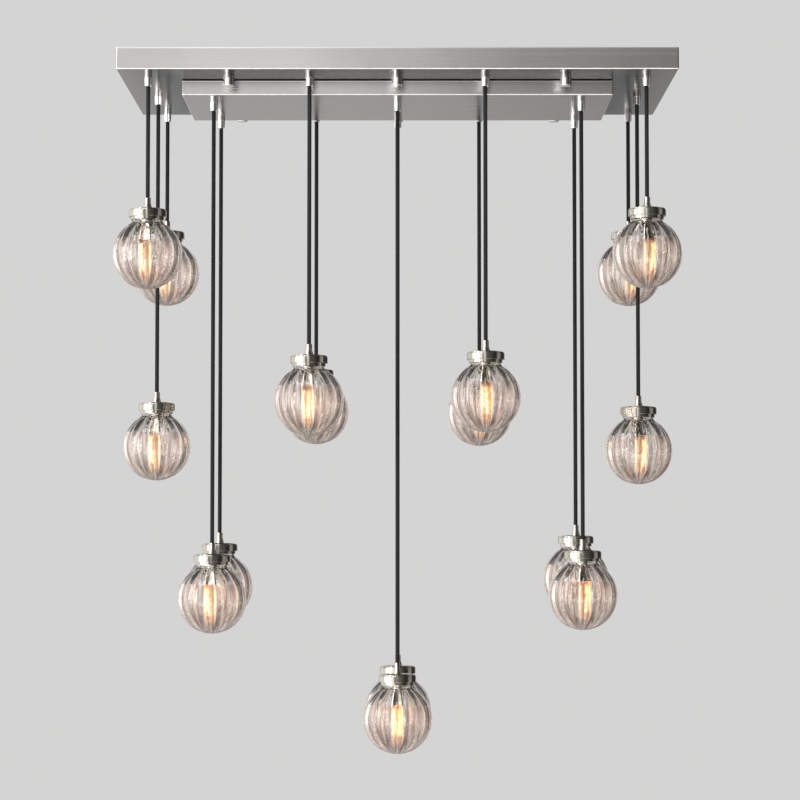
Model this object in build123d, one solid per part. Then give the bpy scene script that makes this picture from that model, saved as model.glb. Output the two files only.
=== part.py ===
from build123d import *
import math
import os

# Rectangular two-tier chandelier with sixteen ribbed glass lamps on fabric cords.
# Frame: origin at the middle of the ceiling plane, +Z up, +X to the right, +Y away from the viewer.
# Everything hangs below Z = 0. Lengths are in millimetres and angles in degrees.

# Upper canopy: a pan of folded sheet, open at the top against the ceiling
CANOPY_WIDTH = 914.4
CANOPY_DEPTH = 457.2
CANOPY_HEIGHT = 36.0
SHEET = 1.5
EDGE_ROUND = 1.0

# Lower canopy: a tray of the same sheet, with its long sides bent inwards as flanges
TRAY_WIDTH = 715.0
TRAY_DEPTH = 263.0
TRAY_HEIGHT = 26.0
TRAY_FLANGE = 15.0
TRAY_SCREW_SPACING = 240.0

# Places of the cords, from the edges of the sheet they come through
GRIP_INSET_X = 49.0
GRIP_INSET_Y = 46.0
INNER_SPACING = 288.0
TRAY_GRIP_INSET_X = 50.5
TRAY_GRIP_INSET_Y = 39.5

# Drop of each globe's centre below the upper canopy's underside, by row, from left to right
DROPS_FRONT = (296.9, 536.6, 530.5, 295.5)
DROPS_SIDE = (603.8, 610.3)
DROPS_BACK = (290.0, 534.8, 537.8, 290.6)
DROPS_TRAY_FRONT = (859.5, 1057.2, 853.7)
DROPS_TRAY_BACK = (841.0, 1051.0, 828.0)

# Mounting bars on the ceiling and their studs
BAR_SPACING = 276.0
BAR_WIDTH = 34.0
BAR_THICKNESS = 3.0
BAR_END = 20.0
CEILING_HOLE_SPACING = 250.0
CEILING_HOLE_R = 3.25
BOX_HOLE_SPACING = 88.9
BOX_HOLE_R = 2.6
SUPPLY_HOLE_R = 11.1
STUD_R = 3.0
STUD_FOOT_R = 5.0
STUD_FOOT = 1.0

# Thumb nuts under the upper canopy
NUT_R = 9.3
NUT_LENGTH = 20.0
NUT_COLLAR_R = 8.3
NUT_COLLAR = 4.0
NUT_GROOVE = 0.6
NUT_ROUND = 1.6
NUT_BORE_DEPTH = 16.0
NUT_BORE_END = 2.0

# Small screws and hexagon nuts
SCREW_R = 2.0
SCREW_HEAD_R = 3.9
SCREW_HEAD = 2.4
HEX_FLATS = 7.0
HEX_HEIGHT = 3.2
THREAD_END = 1.2
EARTH_SCREW_PLACE = 30.0

# Cord and the swing of its two ends
CORD_R = 3.4
SWING = 15.0
RUN_GAP = 0.3
THREAD_GAP = 0.05
HOLE_GAP = 0.15
CUT_PAST = 1.0

# Cord grip
GRIP_LENGTH = 20.0
GRIP_R = 6.7
GRIP_COLLAR = 6.5
GRIP_GROOVE = 0.5
GRIP_LIP = 0.9
GRIP_PIVOT_DEPTH = 4.0
GRIP_STEM_WALL = 1.5
GRIP_NUT_FLATS = 14.0
GRIP_NUT = 4.0
GRIP_STEM_END = 1.5

# Wiring inside the canopies
LEAD_R = 2.0
TAIL = 3.0
LEAD_BEND = 7.0
LANE = 7.0
BLOCK_LENGTH = 60.0
BLOCK_HEIGHT = 20.0
BLOCK_MARGIN = 5.0
TRAY_BLOCK_LENGTH = 36.0

# Lamp fitting, with heights above the globe's centre
GLOBE_R = 57.2
COLLAR_BOTTOM = 56.0
CAP_BOTTOM = 61.0
CAP_TOP = 74.5
FERRULE_TOP = 92.5
SOCKET_COVER_BOTTOM = 23.3
CAP_R = 30.75
CAP_WALL = 1.2
CAP_ROUND = 2.0
COLLAR_WALL = 1.2
COLLAR_THREAD = 6.0
FERRULE_LIP = 0.6
FERRULE_PIVOT_DEPTH = 2.5
FERRULE_STRAIGHT = 9.0
FERRULE_BASE_R = 7.0
FERRULE_BASE = 2.0
STEM_WALL = 1.0
STEM_LENGTH = 7.0
SOCKET_COVER_R = 12.0
SOCKET_COVER_WALL = 0.7
HOLDER_RECESS = 3.0

# Glass globe
GLASS_WALL = 3.6
NECK_R = 25.0
NECK_ROUND = 6.0
NECK_THREAD = 1.0
NECK_THREAD_PLACE = 1.0
NECK_THREAD_LENGTH = 2.6

# Bulb
BULB_R = 10.0
BULB_WALL = 0.7
BULB_TIP = -45.0
BULB_NECK_R = 5.2
BULB_SHOULDER = 6.0
BASE_R = 5.9
BASE_LENGTH = 20.0

# Derived places
swing_angle = math.radians(SWING)
underside = -CANOPY_HEIGHT
tray_underside = underside - TRAY_HEIGHT
pan_floor = underside + SHEET
tray_floor = tray_underside + SHEET
row_y = CANOPY_DEPTH / 2 - GRIP_INSET_Y
end_x = CANOPY_WIDTH / 2 - GRIP_INSET_X
inner_x = INNER_SPACING / 2
tray_row_y = TRAY_DEPTH / 2 - TRAY_GRIP_INSET_Y
tray_end_x = TRAY_WIDTH / 2 - TRAY_GRIP_INSET_X

# Derived radii: bores leave room for the cord's rounded end and for its swing
pivot_bore_r = CORD_R / math.cos(swing_angle) + RUN_GAP
grip_mouth_r = pivot_bore_r + GRIP_PIVOT_DEPTH * math.tan(swing_angle)
ferrule_mouth_r = pivot_bore_r + FERRULE_PIVOT_DEPTH * math.tan(swing_angle)
tail_bore_r = CORD_R + THREAD_GAP
grip_stem_r = tail_bore_r + GRIP_STEM_WALL
ferrule_top_r = ferrule_mouth_r + FERRULE_LIP
collar_inside_r = NECK_R + NECK_THREAD + THREAD_GAP
collar_r = collar_inside_r + COLLAR_WALL
stem_r = pivot_bore_r + STEM_WALL
stud_hole_r = STUD_R + HOLE_GAP
screw_hole_r = SCREW_R + HOLE_GAP
tail_gap = CORD_R + RUN_GAP

# Derived heights of the globe's thread and of the collar's plate above it
neck_top = COLLAR_BOTTOM + NECK_THREAD_PLACE + NECK_THREAD_LENGTH
plate_bottom = neck_top + HOLE_GAP


def turned(points):
    """A solid turned about the Z axis from a closed outline of (radius, height) points."""
    outline = Polyline([(r, 0, z) for r, z in points], close=True)
    return revolve(make_face(outline), Axis.Z)


def group(solids):
    """Separate solids kept together in one node."""
    return Compound(children=list(solids))


def round_edged(width, depth, height):
    """A block with its top at the origin's height, and with rounded upright and lower edges."""
    block = Pos(0, 0, -height / 2) * Box(width, depth, height)
    edges = block.edges().filter_by(Axis.Z) + block.faces().sort_by(Axis.Z)[0].edges()
    return fillet(edges, EDGE_ROUND)


def arc(centre_r, centre_z, radius, start, end):
    """Arc of a (radius, height) outline, from one angle in degrees to another."""
    angles = [math.radians(angle) for angle in (start, (start + end) / 2, end)]
    return ThreePointArc([(centre_r + radius * math.cos(a), 0, centre_z + radius * math.sin(a)) for a in angles])


def moved(solids, x, y, z):
    """Copies of some solids at a new place."""
    return [Pos(x, y, z) * solid for solid in solids]


def disc(radius, top, bottom):
    """A plain round bar between two heights."""
    return Pos(0, 0, (top + bottom) / 2) * Cylinder(radius, top - bottom)


def hexagon(flats, top, bottom):
    """A hexagonal prism between two heights."""
    outline = RegularPolygon(flats / 2, 6, major_radius=False)
    return Pos(0, 0, bottom) * extrude(outline, top - bottom)


def pendants():
    """Place, drop and gland height of every lamp: (x, y, drop, underside the grip hangs from)."""
    front_x = (-end_x, -inner_x, inner_x, end_x)
    tray_x = (-tray_end_x, 0, tray_end_x)
    rows = [(x, -row_y, drop, underside) for x, drop in zip(front_x, DROPS_FRONT)]
    rows += [(x, 0, drop, underside) for x, drop in zip((-end_x, end_x), DROPS_SIDE)]
    rows += [(x, row_y, drop, underside) for x, drop in zip(front_x, DROPS_BACK)]
    rows += [(x, -tray_row_y, drop, tray_underside) for x, drop in zip(tray_x, DROPS_TRAY_FRONT)]
    rows += [(x, tray_row_y, drop, tray_underside) for x, drop in zip(tray_x, DROPS_TRAY_BACK)]
    return rows


def stud_places():
    """The six studs, in plan."""
    return [(x, y) for y in (-row_y, row_y) for x in (-BAR_SPACING, 0, BAR_SPACING)]


def tray_screw_places():
    """The six screws through the tray's flanges, in plan."""
    y = TRAY_DEPTH / 2 - SHEET - TRAY_FLANGE / 2
    return [(x, side * y) for side in (-1, 1) for x in (-TRAY_SCREW_SPACING, 0, TRAY_SCREW_SPACING)]


def mounting_bars():
    """Three flat bars across the canopy, with holes for ceiling screws, a junction box and the supply."""
    length = 2 * (row_y + BAR_END)
    middle = -BAR_THICKNESS / 2
    bars = []
    for x in (-BAR_SPACING, 0, BAR_SPACING):
        bar = Pos(x, 0, middle) * Box(BAR_WIDTH, length, BAR_THICKNESS)
        hole_r = CEILING_HOLE_R if x else BOX_HOLE_R
        spacing = CEILING_HOLE_SPACING if x else BOX_HOLE_SPACING
        for y in (-spacing / 2, spacing / 2):
            bar -= Pos(x, y, middle) * Cylinder(hole_r, 2 * BAR_THICKNESS)
        if x == 0:
            bar -= Pos(0, 0, middle) * Cylinder(SUPPLY_HOLE_R, 2 * BAR_THICKNESS)
            bar -= Pos(0, BOX_HOLE_SPACING / 2 + EARTH_SCREW_PLACE, middle) * Cylinder(
                SCREW_R + THREAD_GAP, 2 * BAR_THICKNESS)
        bars.append(bar)
    return group(bars)


def bar_studs():
    """Weld studs under the bars, each on a round foot."""
    top = -BAR_THICKNESS
    end = underside - NUT_BORE_DEPTH + NUT_BORE_END
    stud = disc(STUD_FOOT_R, top, top - STUD_FOOT) + disc(STUD_R, top - STUD_FOOT, end)
    return group(Pos(x, y, 0) * stud for x, y in stud_places())


def thumb_nuts():
    """Turned nuts with a narrower collar, a ring groove and a rounded lower edge."""
    body = turned([
        (0, 0),
        (NUT_COLLAR_R, 0),
        (NUT_COLLAR_R, -NUT_COLLAR + NUT_GROOVE),
        (NUT_COLLAR_R - NUT_GROOVE, -NUT_COLLAR + NUT_GROOVE),
        (NUT_COLLAR_R - NUT_GROOVE, -NUT_COLLAR),
        (NUT_R, -NUT_COLLAR),
        (NUT_R, -NUT_LENGTH),
        (0, -NUT_LENGTH),
    ])
    lower_edge = body.edges().filter_by(GeomType.CIRCLE).sort_by(Axis.Z)[0]
    body = fillet(lower_edge, NUT_ROUND)
    body -= disc(STUD_R + THREAD_GAP, NUT_LENGTH, -NUT_BORE_DEPTH)
    return group(Pos(x, y, underside) * body for x, y in stud_places())


def upper_canopy():
    """Pan with holes for studs, grips, tray screws and the link lead."""
    pan = round_edged(CANOPY_WIDTH, CANOPY_DEPTH, CANOPY_HEIGHT)
    pan -= Pos(0, 0, pan_floor + CANOPY_HEIGHT / 2) * Box(
        CANOPY_WIDTH - 2 * SHEET, CANOPY_DEPTH - 2 * SHEET, CANOPY_HEIGHT)
    holes = [(x, y, stud_hole_r) for x, y in stud_places()]
    holes += [(x, y, screw_hole_r) for x, y in tray_screw_places()]
    holes += [(x, y, grip_stem_r + HOLE_GAP) for x, y, _, face in pendants() if face == underside]
    holes.append((0, 0, LEAD_R + HOLE_GAP))
    for x, y, radius in holes:
        pan -= Pos(x, y, pan_floor) * Cylinder(radius, 4 * SHEET)
    return pan


def pan_parts():
    """The pan's floor, its two long walls and its two end walls, which meet face to face at the folds."""
    pan = upper_canopy()
    high = 2 * CANOPY_HEIGHT
    inside_width = CANOPY_WIDTH - 2 * SHEET
    inside_depth = CANOPY_DEPTH - 2 * SHEET
    wall_x = (CANOPY_WIDTH - SHEET) / 2
    wall_y = (CANOPY_DEPTH - SHEET) / 2
    along = Box(CANOPY_WIDTH, SHEET, 2 * high)
    across = Box(SHEET, inside_depth, 2 * high)
    return {
        "upper_canopy_floor": pan & Box(inside_width, inside_depth, 2 * high),
        "upper_canopy_long_walls": group([pan & Pos(0, side * wall_y, 0) * along for side in (-1, 1)]),
        "upper_canopy_end_walls": group([pan & Pos(side * wall_x, 0, 0) * across for side in (-1, 1)]),
    }


def lower_canopy():
    """Tray with flanges along its long sides, and holes for grips and screws."""
    tray = Pos(0, 0, underside) * round_edged(TRAY_WIDTH, TRAY_DEPTH, TRAY_HEIGHT)
    inside_width = TRAY_WIDTH - 2 * SHEET
    inside_depth = TRAY_DEPTH - 2 * SHEET
    inside_height = TRAY_HEIGHT - 2 * SHEET
    tray -= Pos(0, 0, tray_floor + inside_height / 2) * Box(inside_width, inside_depth, inside_height)
    tray -= Pos(0, 0, underside) * Box(inside_width, inside_depth - 2 * TRAY_FLANGE, 4 * SHEET)
    holes = [(x, y, underside, screw_hole_r) for x, y in tray_screw_places()]
    holes += [(x, y, tray_underside, grip_stem_r + HOLE_GAP)
              for x, y, _, face in pendants() if face == tray_underside]
    for x, y, z, radius in holes:
        tray -= Pos(x, y, z) * Cylinder(radius, 4 * SHEET)
    return tray


def screws():
    """Screws that drop through the pan's floor and the tray's flanges, and the earth screw in the middle bar."""
    end = underside - SHEET - HEX_HEIGHT - THREAD_END
    screw = disc(SCREW_HEAD_R, pan_floor + SCREW_HEAD, pan_floor) + disc(SCREW_R, pan_floor, end)
    earth_top = -BAR_THICKNESS
    earth = disc(SCREW_HEAD_R, earth_top, earth_top - SCREW_HEAD) + disc(SCREW_R, 0, earth_top)
    placed = [Pos(x, y, 0) * screw for x, y in tray_screw_places()]
    placed.append(Pos(0, BOX_HOLE_SPACING / 2 + EARTH_SCREW_PLACE, 0) * earth)
    return group(placed)


def hex_nuts():
    """Nuts on the screws under the tray's flanges, and larger ones on the grips' stems."""
    top = underside - SHEET
    small = hexagon(HEX_FLATS, top, top - HEX_HEIGHT)
    small -= disc(SCREW_R + THREAD_GAP, top + CUT_PAST, top - HEX_HEIGHT - CUT_PAST)
    large = hexagon(GRIP_NUT_FLATS, SHEET + GRIP_NUT, SHEET)
    large -= disc(grip_stem_r + THREAD_GAP, SHEET + GRIP_NUT + CUT_PAST, SHEET - CUT_PAST)
    placed = [Pos(x, y, 0) * small for x, y in tray_screw_places()]
    placed += [Pos(x, y, face) * large for x, y, _, face in pendants()]
    return group(placed)


def cord_grips():
    """Tapered strain reliefs: a bell-mouthed body below the sheet and a threaded stem above it."""
    stem_top = SHEET + GRIP_NUT + GRIP_STEM_END
    pivot = GRIP_PIVOT_DEPTH - GRIP_LENGTH
    tail_end = pivot + tail_gap
    grip = turned([
        (tail_bore_r, stem_top),
        (grip_stem_r, stem_top),
        (grip_stem_r, 0),
        (GRIP_R, 0),
        (GRIP_R, -GRIP_COLLAR),
        (GRIP_R - GRIP_GROOVE, -GRIP_COLLAR),
        (GRIP_R - GRIP_GROOVE, -GRIP_COLLAR - GRIP_GROOVE),
        (GRIP_R, -GRIP_COLLAR - GRIP_GROOVE),
        (grip_mouth_r + GRIP_LIP, -GRIP_LENGTH),
        (grip_mouth_r, -GRIP_LENGTH),
        (pivot_bore_r, pivot),
        (pivot_bore_r, tail_end),
        (tail_bore_r, tail_end),
    ])
    return group(Pos(x, y, face) * grip for x, y, _, face in pendants())


def lead(x, y, face, block_x, block_y):
    """Inner end of one cord: the tail in its grip, then a thinner lead bent over to a terminal block."""
    tail_bottom = face - GRIP_LENGTH + GRIP_PIVOT_DEPTH + tail_gap
    tail_top = face + SHEET + GRIP_NUT + GRIP_STEM_END + TAIL
    level = tail_top + LEAD_BEND
    corners = [(x, y, tail_top), (x, y, level)]
    if block_x and y:
        lane = math.copysign(LANE * (1 if abs(x) > inner_x else 2), y)
        corners.append((x, lane, level))
        corners.append((math.copysign(block_x, x), lane, level))
    elif block_x:
        corners.append((math.copysign(block_x, x), 0, level))
    else:
        corners.append((x, math.copysign(block_y, y), level))
    path = FilletPolyline(corners, radius=LEAD_BEND * 0.9)
    tube = sweep(Pos(x, y, tail_top) * Circle(LEAD_R), path=path)
    return Pos(x, y, 0) * disc(CORD_R, tail_top, tail_bottom) + tube


def block_depth(lanes):
    """Depth of a terminal block with so many lanes on each side of its middle."""
    return 2 * (LANE * lanes + BLOCK_MARGIN)


def wiring():
    """All sixteen inner cord ends, and the lead that links the two terminal blocks."""
    leads = []
    for x, y, _, face in pendants():
        if face == underside:
            leads.append(lead(x, y, face, BLOCK_LENGTH / 2, 0))
        elif x:
            leads.append(lead(x, y, face, TRAY_BLOCK_LENGTH / 2, 0))
        else:
            leads.append(lead(x, y, face, 0, block_depth(1) / 2))
    link = disc(LEAD_R, pan_floor, tray_floor + BLOCK_HEIGHT)
    return group(leads + [link])


def terminal_blocks():
    """One block on each canopy's floor."""
    upper = Box(BLOCK_LENGTH, block_depth(2), BLOCK_HEIGHT)
    lower = Box(TRAY_BLOCK_LENGTH, block_depth(1), BLOCK_HEIGHT)
    half = BLOCK_HEIGHT / 2
    return group([Pos(0, 0, pan_floor + half) * upper, Pos(0, 0, tray_floor + half) * lower])


def cord(length):
    """A straight cord with rounded ends, hanging from a pivot at the origin to a pivot below it."""
    bar = disc(CORD_R, 0, -length)
    return bar + Sphere(CORD_R) + Pos(0, 0, -length) * Sphere(CORD_R)


def ferrule():
    """Ferrule on the cap, with its bell mouth at the top and a threaded stem into the lamp holder."""
    pivot = FERRULE_TOP - FERRULE_PIVOT_DEPTH
    return turned([
        (pivot_bore_r, CAP_TOP - STEM_LENGTH),
        (stem_r, CAP_TOP - STEM_LENGTH),
        (stem_r, CAP_TOP),
        (FERRULE_BASE_R, CAP_TOP),
        (FERRULE_BASE_R, CAP_TOP + FERRULE_BASE),
        (ferrule_top_r, FERRULE_TOP - FERRULE_STRAIGHT),
        (ferrule_top_r, FERRULE_TOP),
        (ferrule_mouth_r, FERRULE_TOP),
        (pivot_bore_r, pivot),
    ])


def cap():
    """Round cup that covers the top of the globe."""
    cup = disc(CAP_R, CAP_TOP, CAP_BOTTOM)
    top_edge = cup.edges().filter_by(GeomType.CIRCLE).sort_by(Axis.Z)[-1]
    cup = fillet(top_edge, CAP_ROUND)
    cup -= disc(CAP_R - CAP_WALL, CAP_TOP - CAP_WALL, CAP_BOTTOM - CUT_PAST)
    cup -= disc(stem_r + THREAD_GAP, CAP_TOP + CUT_PAST, CAP_BOTTOM)
    return cup


def collar():
    """Threaded ring inside the cap, with a plate over the globe's neck and a skirt that the neck screws into."""
    thread_r = CAP_R - CAP_WALL - THREAD_GAP
    top = CAP_BOTTOM + COLLAR_THREAD
    plate_top = plate_bottom + COLLAR_WALL
    return turned([
        (SOCKET_COVER_R + THREAD_GAP, plate_top),
        (collar_inside_r, plate_top),
        (collar_inside_r, top),
        (thread_r, top),
        (thread_r, CAP_BOTTOM),
        (collar_r, CAP_BOTTOM),
        (collar_r, COLLAR_BOTTOM),
        (collar_inside_r, COLLAR_BOTTOM),
        (collar_inside_r, plate_bottom),
        (SOCKET_COVER_R + THREAD_GAP, plate_bottom),
    ])


def socket_cover():
    """Thin tube round the lamp holder, from the cap down into the globe."""
    top = CAP_TOP - CAP_WALL
    tube = disc(SOCKET_COVER_R, top, SOCKET_COVER_BOTTOM)
    tube -= disc(SOCKET_COVER_R - SOCKET_COVER_WALL, top + CUT_PAST, SOCKET_COVER_BOTTOM - CUT_PAST)
    return tube


def lamp_holder():
    """Insulating holder with a threaded socket for the bulb."""
    top = CAP_TOP - CAP_WALL
    bottom = SOCKET_COVER_BOTTOM + HOLDER_RECESS
    holder = disc(SOCKET_COVER_R - SOCKET_COVER_WALL - THREAD_GAP, top, bottom)
    holder -= disc(stem_r + THREAD_GAP, top + CUT_PAST, CAP_TOP - STEM_LENGTH)
    holder -= disc(BASE_R + THREAD_GAP, bottom + BASE_LENGTH, bottom - CUT_PAST)
    return holder


def cord_end():
    """Inner end of the cord, from just under its pivot down to the lamp holder."""
    top = FERRULE_TOP - FERRULE_PIVOT_DEPTH - tail_gap
    return disc(CORD_R, top, CAP_TOP - STEM_LENGTH)


def bulb_base():
    """Screw shell of the bulb, a cup that holds the envelope's neck."""
    bottom = SOCKET_COVER_BOTTOM + HOLDER_RECESS
    shell = disc(BASE_R, bottom + BASE_LENGTH, bottom)
    shell -= disc(BULB_NECK_R + THREAD_GAP, bottom + BASE_LENGTH - 2 * BULB_WALL, bottom - CUT_PAST)
    return shell


def globe():
    """Glass globe: a shell with a short neck, whose top has the thread that holds it in the collar."""
    round_r = NECK_R + NECK_ROUND
    reach = GLOBE_R + NECK_ROUND
    round_z = math.sqrt(reach ** 2 - round_r ** 2)
    joint = math.degrees(math.atan2(round_z, round_r))
    inside_r = GLOBE_R - GLASS_WALL
    inside_neck_r = NECK_R - GLASS_WALL
    inside_joint = math.degrees(math.acos(inside_neck_r / inside_r))
    thread_bottom = neck_top - NECK_THREAD_LENGTH
    outer = arc(0, 0, GLOBE_R, -90, joint)
    flare = arc(round_r, round_z, NECK_ROUND, 180 + joint, 180)
    inner = arc(0, 0, inside_r, inside_joint, -90)
    corners = [
        flare @ 1,
        (NECK_R, 0, thread_bottom),
        (NECK_R + NECK_THREAD, 0, thread_bottom),
        (NECK_R + NECK_THREAD, 0, neck_top),
        (inside_neck_r, 0, neck_top),
        inner @ 0,
    ]
    neck = [Line(start, end) for start, end in zip(corners, corners[1:])]
    outline = make_face([outer, flare, *neck, inner, Line(inner @ 1, outer @ 0)])
    return revolve(outline, Axis.Z)


def bulb():
    """Tubular glass envelope with a round tip and a neck that sits in the screw shell."""
    base_bottom = SOCKET_COVER_BOTTOM + HOLDER_RECESS
    shoulder = SOCKET_COVER_BOTTOM - BULB_SHOULDER
    neck_top = base_bottom + BASE_LENGTH / 2
    envelope = bulb_solid(BULB_R, BULB_NECK_R, BULB_TIP, shoulder, base_bottom, neck_top)
    inside = bulb_solid(
        BULB_R - BULB_WALL, BULB_NECK_R - BULB_WALL, BULB_TIP + BULB_WALL, shoulder, base_bottom, neck_top)
    return envelope - inside


def bulb_solid(radius, neck_r, tip, shoulder, neck_bottom, neck_top):
    """Full solid of a tube with a round tip, a conical shoulder and a narrower neck."""
    centre = tip + radius
    outline = make_face([
        Line((0, 0, tip), (0, 0, neck_top)),
        Line((0, 0, neck_top), (neck_r, 0, neck_top)),
        Line((neck_r, 0, neck_top), (neck_r, 0, neck_bottom)),
        Line((neck_r, 0, neck_bottom), (radius, 0, shoulder)),
        Line((radius, 0, shoulder), (radius, 0, centre)),
        ThreePointArc(
            (radius, 0, centre),
            (radius * math.sin(math.pi / 4), 0, centre - radius * math.cos(math.pi / 4)),
            (0, 0, tip)),
    ])
    return revolve(outline, Axis.Z)


def main():
    os.makedirs("parts", exist_ok=True)
    nodes = {
        "mounting_bars": mounting_bars(),
        "bar_studs": bar_studs(),
        "thumb_nuts": thumb_nuts(),
        **pan_parts(),
        "lower_canopy": lower_canopy(),
        "screws": screws(),
        "hex_nuts": hex_nuts(),
        "cord_grips": cord_grips(),
        "wiring": wiring(),
        "terminal_blocks": terminal_blocks(),
    }
    fitting = [ferrule(), cap(), collar(), socket_cover(), lamp_holder(), cord_end(), bulb_base()]
    glass = [globe(), bulb()]
    for number, (x, y, drop, face) in enumerate(pendants(), start=1):
        pivot = face - GRIP_LENGTH + GRIP_PIVOT_DEPTH
        centre = underside - drop
        length = pivot - (centre + FERRULE_TOP - FERRULE_PIVOT_DEPTH)
        nodes[f"cord_{number:02d}"] = Pos(x, y, pivot) * cord(length)
        nodes[f"lamp_fitting_{number:02d}"] = group(moved(fitting, x, y, centre))
        nodes[f"glass_{number:02d}"] = group(moved(glass, x, y, centre))
        visible = length - GRIP_PIVOT_DEPTH - FERRULE_PIVOT_DEPTH
        print(f"lamp {number:02d} at x {x:.1f} y {y:.1f}, cord {visible:.1f} long between grip and ferrule")
    for name, shape in nodes.items():
        export_step(shape, f"parts/{name}.step")


main()
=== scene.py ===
# %% [markdown]
# # A rectangular chandelier with sixteen ribbed glass lamps
#
# The measured model is loaded first and stays fixed. Everything below dresses it: each new piece takes
# its place from the model's own boxes, in metres, with +Z up and the ceiling at Z = 0.

# %% Load the measured model
import math

import bmesh
import bpy
from mathutils import Euler, Matrix, Vector


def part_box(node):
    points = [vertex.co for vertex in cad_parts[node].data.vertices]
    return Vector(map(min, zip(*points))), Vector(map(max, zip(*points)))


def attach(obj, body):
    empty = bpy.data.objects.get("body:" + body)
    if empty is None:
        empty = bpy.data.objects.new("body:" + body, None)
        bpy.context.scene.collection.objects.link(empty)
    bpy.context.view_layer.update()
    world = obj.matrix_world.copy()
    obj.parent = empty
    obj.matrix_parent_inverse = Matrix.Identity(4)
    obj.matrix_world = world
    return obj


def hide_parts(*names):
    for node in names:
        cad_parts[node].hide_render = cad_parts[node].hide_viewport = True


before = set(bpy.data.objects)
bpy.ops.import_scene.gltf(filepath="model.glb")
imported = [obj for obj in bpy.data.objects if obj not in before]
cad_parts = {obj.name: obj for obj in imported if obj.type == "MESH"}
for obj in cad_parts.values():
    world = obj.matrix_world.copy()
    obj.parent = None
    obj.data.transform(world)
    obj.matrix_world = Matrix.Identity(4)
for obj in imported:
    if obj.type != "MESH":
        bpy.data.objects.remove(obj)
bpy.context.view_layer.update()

MM = 0.001
LAMPS = [f"{number:02d}" for number in range(1, 17)]

# %% [markdown]
# ## The camera
#
# The photograph was taken with a long lens from about four and a half metres, a little below the
# canopy and tipped up by about three degrees. Lens, place and tilt come from fitting the canopy's and
# the tray's edges and the sixteen cords. A fitted camera makes every later comparison fair.

# %% Camera
CAMERA_PLACE = (0.008678, -4.5716, -0.8242)
CAMERA_TIP = 3.300
CAMERA_ROLL = 0.001
CAMERA_LENS = 121.53
FILM_WIDTH = 36.0
FARTHEST_SEEN = 50.0

scene = bpy.context.scene
camera = bpy.data.objects.new("camera", bpy.data.cameras.new("camera"))
scene.collection.objects.link(camera)
camera.location = CAMERA_PLACE
camera.rotation_euler = Euler((math.radians(90 + CAMERA_TIP), 0, CAMERA_ROLL))
camera.data.lens = CAMERA_LENS
camera.data.sensor_width = FILM_WIDTH
camera.data.clip_end = FARTHEST_SEEN
scene.camera = camera
scene.view_settings.view_transform = "Standard"
print("camera set", CAMERA_LENS, "mm")

# %% [markdown]
# ## Writing shader sums as sums
#
# A finish on a real object is rarely one colour: it has grain, rings or weave. In the node editor
# that is a web of Math nodes. Wrapping a socket in a small class lets the same web be written as an
# expression, which is easier to read and to change.

# %% A socket that can be added and multiplied
class Value:
    """An output socket. Each operator adds the Math node that works it out."""

    def __init__(self, finish, socket):
        self.finish = finish
        self.socket = socket

    def math(self, operation, *others):
        """This value, with any others after it, put through a Math node."""
        return self.finish.math(operation, self, *others)

    def __add__(self, other):
        return self.math("ADD", other)

    def __sub__(self, other):
        return self.math("SUBTRACT", other)

    def __rsub__(self, other):
        return self.finish.math("SUBTRACT", other, self)

    def __mul__(self, other):
        return self.math("MULTIPLY", other)

    def __truediv__(self, other):
        return self.math("DIVIDE", other)

    def __pow__(self, other):
        return self.math("POWER", other)

    def __neg__(self):
        return self.math("MULTIPLY", -1.0)

    def __abs__(self):
        return self.math("ABSOLUTE")

    __radd__ = __add__
    __rmul__ = __mul__


print("shader sums ready")

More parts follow.
